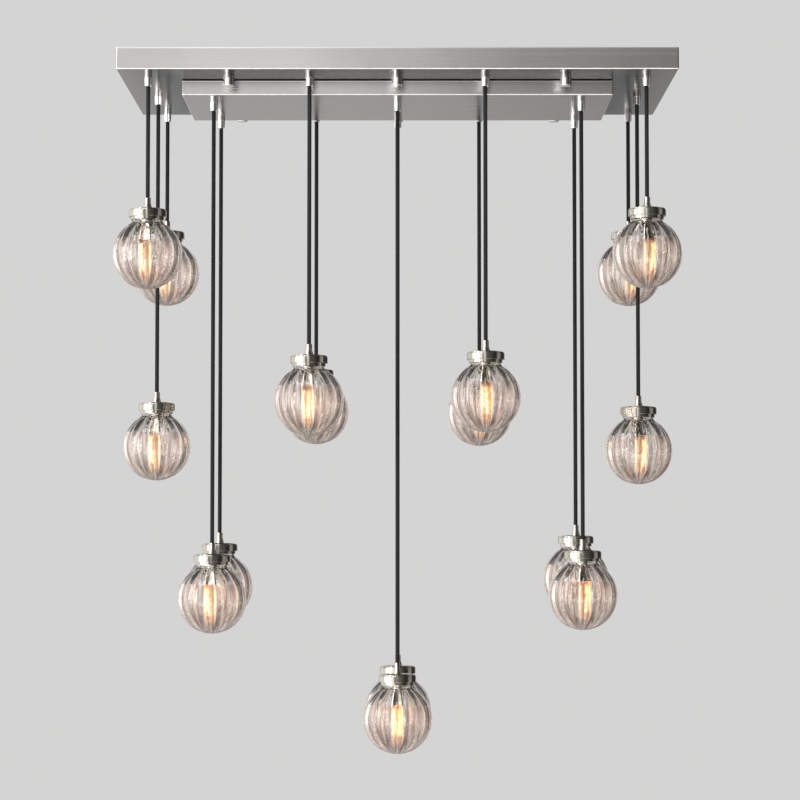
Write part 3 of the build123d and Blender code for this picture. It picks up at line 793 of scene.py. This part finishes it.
def globe():
    """Turn the globe's wall, then press its ribs."""
    flare_r = NECK_R + NECK_ROUND
    flare_z = math.sqrt((GLOBE_R + NECK_ROUND) ** 2 - flare_r ** 2)
    joint = math.degrees(math.atan2(flare_z, flare_r))
    inside_r = GLOBE_R - GLASS_WALL
    inside_neck = NECK_R - GLASS_WALL
    inside_joint = math.degrees(math.acos(inside_neck / inside_r))
    line = Outline(0, -GLOBE_R)
    line.swing(0, 0, 90 + joint, 44).swing(flare_r, flare_z, -joint, 6)
    line.to((NECK_R, THREAD_BOTTOM), (NECK_R + THREAD, THREAD_BOTTOM), (NECK_R + THREAD, NECK_TOP))
    line.to((inside_neck, NECK_TOP), (inside_neck, inside_r * math.sin(math.radians(inside_joint))))
    line.swing(0, 0, -90 - inside_joint, 28)
    mesh = line.turn(GLOBE_TURNS)
    for vert in mesh.verts:
        x, y, z = vert.co / MM
        outside = vert.co.length > (GLOBE_R - OUTER_SKIN) * MM
        if outside and z < RIB_TOP and math.hypot(x, y) > 0.01:
            inwards = (rib_depth(math.atan2(y, x), z) + HAIR) / vert.co.length * MM
            vert.co *= 1 - inwards
    return keep_place(smooth(mesh))


globe_mesh = globe()
print("globe", len(globe_mesh.verts), "points,", len(globe_mesh.faces), "faces")

# %% [markdown]
# ## The bulb and its filament
#
# A clear tube with a round tip and a narrower neck, and inside it a long wire that runs up and down
# between two rings of supports. The tube is turned. The wire bends too often for that, so it is a
# curve with a fine bevel, made a mesh so that it can be copied to all sixteen bulbs.

# %% Bulb
BULB_R, BULB_WALL, BULB_TIP, BULB_NECK_R = 10.0, 0.7, -45.0, 5.2
BULB_SHOULDER, BULB_NECK, BULB_TOP = 17.3, 26.3, 36.3


def bulb():
    """Outside and inside outline of the bulb's glass."""
    inside_r, inside_neck = BULB_R - BULB_WALL, BULB_NECK_R - BULB_WALL
    line = Outline(0, BULB_TIP)
    line.swing(0, BULB_TIP + BULB_R, 90, 10)
    line.to((BULB_R, BULB_SHOULDER), (BULB_NECK_R, BULB_NECK), (BULB_NECK_R, BULB_TOP))
    line.to((inside_neck, BULB_TOP), (inside_neck, BULB_NECK), (inside_r, BULB_SHOULDER))
    line.to((inside_r, BULB_TIP + BULB_R)).swing(0, BULB_TIP + BULB_R, -90, 8)
    return keep_place(smooth(line.turn(48)))


bulb_mesh = bulb()
print("bulb", len(bulb_mesh.faces), "faces")

# %% Filament
WIRE_R, WIRE_TOP, WIRE_BOTTOM, WIRE_RING = 0.42, 17.0, -28.0, 3.4
WIRE_RUNS = 8


def filament():
    """A wire that zigzags between an upper and a lower ring."""
    line = bpy.data.curves.new("wire", "CURVE")
    line.dimensions = "3D"
    line.bevel_depth = WIRE_R * MM
    line.bevel_resolution = 1
    line.use_fill_caps = True
    run = line.splines.new("POLY")
    run.points.add(2 * WIRE_RUNS - 1)
    for i, point in enumerate(run.points):
        angle = math.tau * (i + 0.5) / (2 * WIRE_RUNS)
        height = WIRE_TOP if i % 2 else WIRE_BOTTOM
        point.co = (WIRE_RING * math.cos(angle) * MM, WIRE_RING * math.sin(angle) * MM, height * MM, 1.0)
    holder = bpy.data.objects.new("wire", line)
    mesh = bmesh.new()
    mesh.from_mesh(bpy.data.meshes.new_from_object(holder))
    bpy.data.objects.remove(holder)
    return keep_place(smooth(mesh, 80))


filament_mesh = filament()
print("filament", len(filament_mesh.faces), "faces")

# %% [markdown]
# ## The lamp fitting
#
# From the top down: a ferrule that tapers onto the cap, a round cap with a sloping shoulder, a
# narrower collar that the globe screws into, and a long socket cover that hides the lamp holder inside
# the glass. One outline could hold all four, but each is its own closed ring, as each is its own part
# in the shop, and the seams between them stay real.

# %% Ferrule, cap, collar and socket cover
CAP_R, CAP_TOP, CAP_BOTTOM, CAP_WALL, CAP_ROUND = 30.75, 74.5, 61.0, 1.2, 1.2
CAP_SHOULDER, CAP_SHOULDER_RISE = 7.0, 2.6
FERRULE_TOP, FERRULE_R, FERRULE_BASE_R, FERRULE_BASE, FERRULE_STRAIGHT = 92.5, 5.09, 7.0, 2.0, 9.0
FERRULE_MOUTH, FERRULE_BORE, FERRULE_PIVOT, STEM_R, STEM_END = 4.49, 3.82, 90.0, 4.82, 67.5
COLLAR_R, COLLAR_INSIDE, COLLAR_BOTTOM, COLLAR_TOP, COLLAR_THREAD = 27.25, 26.05, 56.0, 67.0, 29.5
PLATE_BOTTOM, PLATE_TOP = 59.75, 60.95
COVER_R, COVER_WALL, COVER_BOTTOM, COVER_TOP = 12.0, 0.7, 23.3, 73.3
CLOSE_FIT = 0.05


def ferrule():
    """Straight stem through the cap, wide base, long taper and flared mouth."""
    line = Outline(FERRULE_BORE, STEM_END)
    line.to((STEM_R, STEM_END), (STEM_R, CAP_TOP), (FERRULE_BASE_R, CAP_TOP))
    line.to((FERRULE_BASE_R, CAP_TOP + FERRULE_BASE), (FERRULE_R, FERRULE_TOP - FERRULE_STRAIGHT))
    line.to((FERRULE_R, FERRULE_TOP), (FERRULE_MOUTH, FERRULE_TOP), (FERRULE_BORE, FERRULE_PIVOT))
    return line.close().turn(48, 0.2)


def cap():
    """Thin spun cap: an upright wall, a rounded rim, a sloping shoulder and a flat top."""
    line = Outline(CAP_R - CAP_WALL, CAP_BOTTOM)
    rim = CAP_TOP - CAP_SHOULDER_RISE - CAP_ROUND
    line.to((CAP_R, CAP_BOTTOM), (CAP_R, rim)).swing(CAP_R - CAP_ROUND, rim, 70, 5)
    line.to((CAP_R - CAP_SHOULDER, CAP_TOP), (STEM_R + CLOSE_FIT, CAP_TOP))
    line.to((STEM_R + CLOSE_FIT, CAP_TOP - CAP_WALL), (CAP_R - CAP_WALL, CAP_TOP - CAP_WALL))
    return line.close().turn(96, 0.3)


def collar():
    """Ring with a thread for the globe, and a plate round the socket cover."""
    line = Outline(COVER_R + CLOSE_FIT, PLATE_TOP)
    line.to((COLLAR_INSIDE, PLATE_TOP), (COLLAR_INSIDE, COLLAR_TOP), (COLLAR_THREAD, COLLAR_TOP))
    line.to((COLLAR_THREAD, CAP_BOTTOM), (COLLAR_R, CAP_BOTTOM), (COLLAR_R, COLLAR_BOTTOM))
    line.to((COLLAR_INSIDE, COLLAR_BOTTOM), (COLLAR_INSIDE, PLATE_BOTTOM))
    return line.to((COVER_R + CLOSE_FIT, PLATE_BOTTOM)).close().turn(96, 0.25)


def socket_cover():
    """Plain open tube."""
    line = Outline(COVER_R - COVER_WALL, COVER_BOTTOM)
    line.to((COVER_R, COVER_BOTTOM), (COVER_R, COVER_TOP), (COVER_R - COVER_WALL, COVER_TOP))
    return line.close().turn(64, 0.15)


fitting_meshes = {"ferrule": ferrule(), "cap": cap(), "collar": collar(), "socket_cover": socket_cover()}
for part, mesh in fitting_meshes.items():
    keep_place(smooth(mesh, 20 if part == "cap" else 60))
print("fitting pieces", ", ".join(fitting_meshes))

# %% [markdown]
# ## Inside the socket cover
#
# Looking up into the cover, one sees the pale insulating holder and the brass screw shell of the bulb.
# Both are turned too. Their finishes, and those of the hidden parts further down, are two close tones
# in a fine noise, which is enough for pieces this small.

# %% Holder and screw shell
HOLDER_R, HOLDER_BOTTOM, HOLDER_BORE = 11.25, 26.3, 5.95
SHELL_BOTTOM, SHELL_TOP, SHELL_R, SHELL_END = 26.3, 46.3, 5.9, 1.4
GRAIN_HEIGHT = 0.03 * MM


def plain_finish(name, dark, light, rough, metal, scale):
    """A finish for small parts: two close tones in a fine noise."""
    made = Finish(name)
    grain = made.noise(made.node("ShaderNodeTexCoord", output="Object"), scale, 4.0)
    return made.wear({
        "Base Color": made.blend(grain, dark, light),
        "Metallic": metal,
        "Roughness": rough + 0.15 * grain,
        "Normal": made.bump(grain, GRAIN_HEIGHT, 0.3),
    })


ceramic = plain_finish("holder_ceramic", (0.62, 0.60, 0.56, 1), (0.74, 0.72, 0.68, 1), 0.4, 0.0, 700.0)
brass = plain_finish("shell_brass", (0.50, 0.36, 0.16, 1), (0.66, 0.50, 0.26, 1), 0.25, 1.0, 600.0)


def lamp_holder():
    """Thick insulating barrel, with a bore for the screw shell and a seat for the ferrule's stem."""
    line = Outline(HOLDER_BORE, HOLDER_BOTTOM)
    line.to((HOLDER_R, HOLDER_BOTTOM), (HOLDER_R, COVER_TOP), (STEM_R + CLOSE_FIT, COVER_TOP))
    line.to((STEM_R + CLOSE_FIT, STEM_END), (0, STEM_END), (0, SHELL_TOP), (HOLDER_BORE, SHELL_TOP))
    return line.close().turn(48, 0.3)


def screw_shell():
    """The bulb's screw base, closed at its top."""
    line = Outline(BULB_NECK_R + CLOSE_FIT, SHELL_BOTTOM)
    line.to((SHELL_R, SHELL_BOTTOM), (SHELL_R, SHELL_TOP), (0, SHELL_TOP), (0, SHELL_TOP - SHELL_END))
    return line.to((BULB_NECK_R + CLOSE_FIT, SHELL_TOP - SHELL_END)).close().turn(48, 0.15)


inner_meshes = {"holder": (keep_place(smooth(lamp_holder())), ceramic),
                "screw_shell": (keep_place(smooth(screw_shell())), brass)}
print("inner pieces", ", ".join(inner_meshes))

# %% [markdown]
# ## Sixteen lamps
#
# Every lamp has the same pieces, so they are made once above and copied here. A globe's lowest point is
# one radius under its centre, which gives each lamp its place.

# %% Place the lamps
metal_parts = {part: (mesh, satin_nickel) for part, mesh in fitting_meshes.items()} | inner_meshes
glass_parts = {"globe": (globe_mesh, clear_glass), "bulb": (bulb_mesh, thin_glass),
               "filament": (filament_mesh, hot_wire)}
for number in LAMPS:
    low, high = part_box(f"glass_{number}")
    centre = Vector((*middle_line(low, high), low.z + GLOBE_R * MM))
    body = f"lamp_{number}"
    fitting = [finished(mesh, f"{part}_{number}", material, body, "fitting_nickel",
                        f"lamp_fitting_{number}", at=centre)
               for part, (mesh, material) in metal_parts.items()]
    for part, (mesh, material) in glass_parts.items():
        finished(mesh, f"{part}_{number}", material, body, "clear_glass", f"glass_{number}", at=centre,
                 even=False)
    cord, top, length = cords[number]
    tuple(top)
print("lamps", len(LAMPS), "with", len(metal_parts) + len(glass_parts), "pieces each, besides the cord")

# %% [markdown]
# ## Parts inside the canopy
#
# The bars, studs, screws, nuts, wires and terminal blocks have their right shapes in the measured model
# already, so they stay and only get a finish.

# %% Finishes for the measured parts
steel = plain_finish("bar_steel", (0.42, 0.42, 0.42, 1), (0.60, 0.60, 0.59, 1), 0.32, 1.0, 260.0)
zinc = plain_finish("stud_steel", (0.52, 0.53, 0.53, 1), (0.70, 0.70, 0.68, 1), 0.24, 1.0, 500.0)
rubber = plain_finish("insulation", (0.012, 0.012, 0.013, 1), (0.035, 0.035, 0.036, 1), 0.45, 0.0, 500.0)
plastic = plain_finish("terminal_plastic", (0.70, 0.69, 0.65, 1), (0.82, 0.81, 0.78, 1), 0.38, 0.0, 400.0)
for nodes, material in ((("mounting_bars",), steel), (("bar_studs", "screws", "hex_nuts"), zinc),
                        (("wiring",), rubber), (("terminal_blocks",), plastic)):
    for node in nodes:
        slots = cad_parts[node].data.materials
        slots.clear()
        slots.append(material)
print("measured parts finished")

# %% [markdown]
# ## Floor, background and light
#
# A pale round floor far below carries the soft shadow and fades out at its rim. The pale background is
# the world's colour as the camera sees it. Metal and glass see a ring of bright and dark screens round
# the object, as a photographer would stand them: their order, by compass angle from the front, draws
# the bright left and dark right of every turned part, and the pale rims and dark streaks of the glass.
# The lamps stay low: a soft box overhead, a tall one on the left, one behind the camera and a low one.
# A narrow one at the front left draws the white streaks on caps, grips and glass. The screens could be
# real boards, but those would stand in the way in views from the side, and a ring in the world doesn't.

# %% Floor
FLOOR_Z = -1.75
FLOOR_R = 2.6


def floor_finish():
    """Pale matt floor that turns see-through towards its rim."""
    matt = Finish("floor")
    place = matt.node("ShaderNodeTexCoord", output="Object")
    x, y, _ = matt.split(place)
    reach = (x * x + y * y) ** 0.5
    tone = matt.noise(place, 3.0, 2.0)
    return matt.wear({
        "Base Color": matt.blend(tone, (0.66, 0.655, 0.65, 1), (0.70, 0.695, 0.69, 1)),
        "Roughness": 0.85,
        "Alpha": 1.0 - matt.step(reach, 0.35 * FLOOR_R, FLOOR_R),
    })


floor_mesh = bmesh.new()
bmesh.ops.create_circle(floor_mesh, cap_ends=True, segments=96, radius=FLOOR_R)
bmesh.ops.translate(floor_mesh, vec=(0, 0, FLOOR_Z), verts=floor_mesh.verts)
floor_data = bpy.data.meshes.new("floor")
floor_mesh.to_mesh(floor_data)
floor_data.materials.append(floor_finish())
floor = bpy.data.objects.new("floor", floor_data)
scene.collection.objects.link(floor)
print("floor", FLOOR_R, "m at", FLOOR_Z)

# %% World
# PALE is what the camera sees, AMBIENT what lights matt surfaces. AROUND is the ring of screens, as
# degrees from the front, with minus to the left, and brightness. The glows are seen only by glass and
# metal: low in front, and through the glass at both sides.
PALE, AMBIENT, CEILING, BRIGHTEST = 0.66, 0.55, 0.06, 2.4
FLOOR_GLOW, SIDE_GLOW, RIGHT_EXTRA = 2.3, 1.0, 0.9
BEHIND_LEFT, BEHIND_RIGHT = 0.62, 0.42
AROUND = (
    (-180, 0.66), (-177, 0.70), (-175, 2.30), (-168, 2.30), (-166, 0.05), (-160, 0.05), (-157, 1.00),
    (-151, 1.00), (-148, 0.10), (-144, 1.25), (-80, 1.25), (-74, 1.90), (-26, 1.90), (-19, 0.26),
    (-4, 0.42), (9, 0.14), (38, 0.10), (46, 0.04), (68, 0.04), (76, 0.42), (96, 0.42), (104, 0.05),
    (148, 0.05), (151, 0.40), (154, 0.06), (159, 0.06), (162, 1.60), (167, 1.60), (170, 0.05), (175, 0.05),
    (178, 0.66))


def studio_world():
    """Pale to the camera, a ring of screens to metal and glass, and even light to matt surfaces."""
    world = scene.world or bpy.data.worlds.new("studio")
    scene.world = world
    sky = Finish("studio", world)
    x, y, z = sky.split(sky.node("ShaderNodeTexCoord", output="Generated"))
    heading = x.math("ARCTAN2", -y) * (1 / math.tau) + 0.5
    stops = [(angle / 360 + 0.5, (level / BRIGHTEST,) * 3 + (1,)) for angle, level in AROUND]
    screens = sky.node("ShaderNodeValToRGB", {"stops": stops}, {"Fac": heading}) * BRIGHTEST
    camera_ray, glossy, through = sky.outputs(
        sky.node("ShaderNodeLightPath"), "Is Camera Ray", "Is Glossy Ray", "Is Transmission Ray")

    # Glass sees lit walls on both sides, and metal a plain wall straight behind.
    sides = sky.band(y, (-0.15, 0.0), (0.45, 0.6)) * through
    behind = sky.step(y, 0.80, 0.88) * glossy
    wall = BEHIND_LEFT - (BEHIND_LEFT - BEHIND_RIGHT) * sky.step(x, -0.03, 0.10)
    side_glow = SIDE_GLOW + RIGHT_EXTRA * sky.step(x, -0.2, 0.2)
    screens = screens * (1.0 - sides - behind) + side_glow * sides + wall * behind

    # It is dark above and dimmer below, with a glow on the floor in front.
    above = sky.step(z + 0.22 * through, 0.42, 0.60)
    below = 1.0 - sky.step(z, -0.30, -0.03)
    floor_glow = (1.0 - sky.step(z, -0.70, -0.48)) * (1.0 - sky.step(y, -0.5, 0.0)) * glossy
    around = screens * (1.0 - above) + CEILING * above
    around = around * (1.0 - below * (0.32 * glossy + 0.30 * through))
    around = around * (1.0 - floor_glow) + FLOOR_GLOW * floor_glow

    # Metal and glass see all this, matt surfaces an even light, and the camera one pale tone.
    shiny = glossy.math("MAXIMUM", through)
    level = AMBIENT * (1.0 - shiny) + around * shiny
    level = level * (1.0 - camera_ray) + PALE * camera_ray
    return sky.wear({"Color": sky.join(level, level * 0.995, level * 0.99)})


studio_world()
print("world with", len(AROUND), "stops in its ring of screens")


# %% Lamps of the studio
def soft_box(name, place, aim, size, power):
    """A rectangular lamp that looks at a point and that the camera doesn't see."""
    light = bpy.data.lights.new(name, "AREA")
    light.shape = "RECTANGLE"
    light.size, light.size_y = size
    light.energy = power
    lamp = bpy.data.objects.new(name, light)
    lamp.location = place
    lamp.rotation_euler = (Vector(aim) - Vector(place)).to_track_quat("-Z", "Y").to_euler()
    lamp.visible_camera = False
    scene.collection.objects.link(lamp)


MIDDLE = (0, 0, -0.55)
soft_box("overhead", (-1.1, -2.4, 2.3), MIDDLE, (1.6, 1.6), 50)
soft_box("left_wall", (-2.5, -0.7, -0.5), MIDDLE, (1.1, 2.4), 12)
soft_box("left_strip", (-2.53, -2.27, -0.25), MIDDLE, (0.5, 2.6), 46)
soft_box("front_panel", (-0.55, -5.2, 0.45), (-0.1, -0.2, -0.1), (1.1, 2.3), 7.4)
soft_box("low_strip", (-0.2, -2.4, -1.6), (0, -0.2, 0), (2.6, 0.5), 14)
print("studio ready")
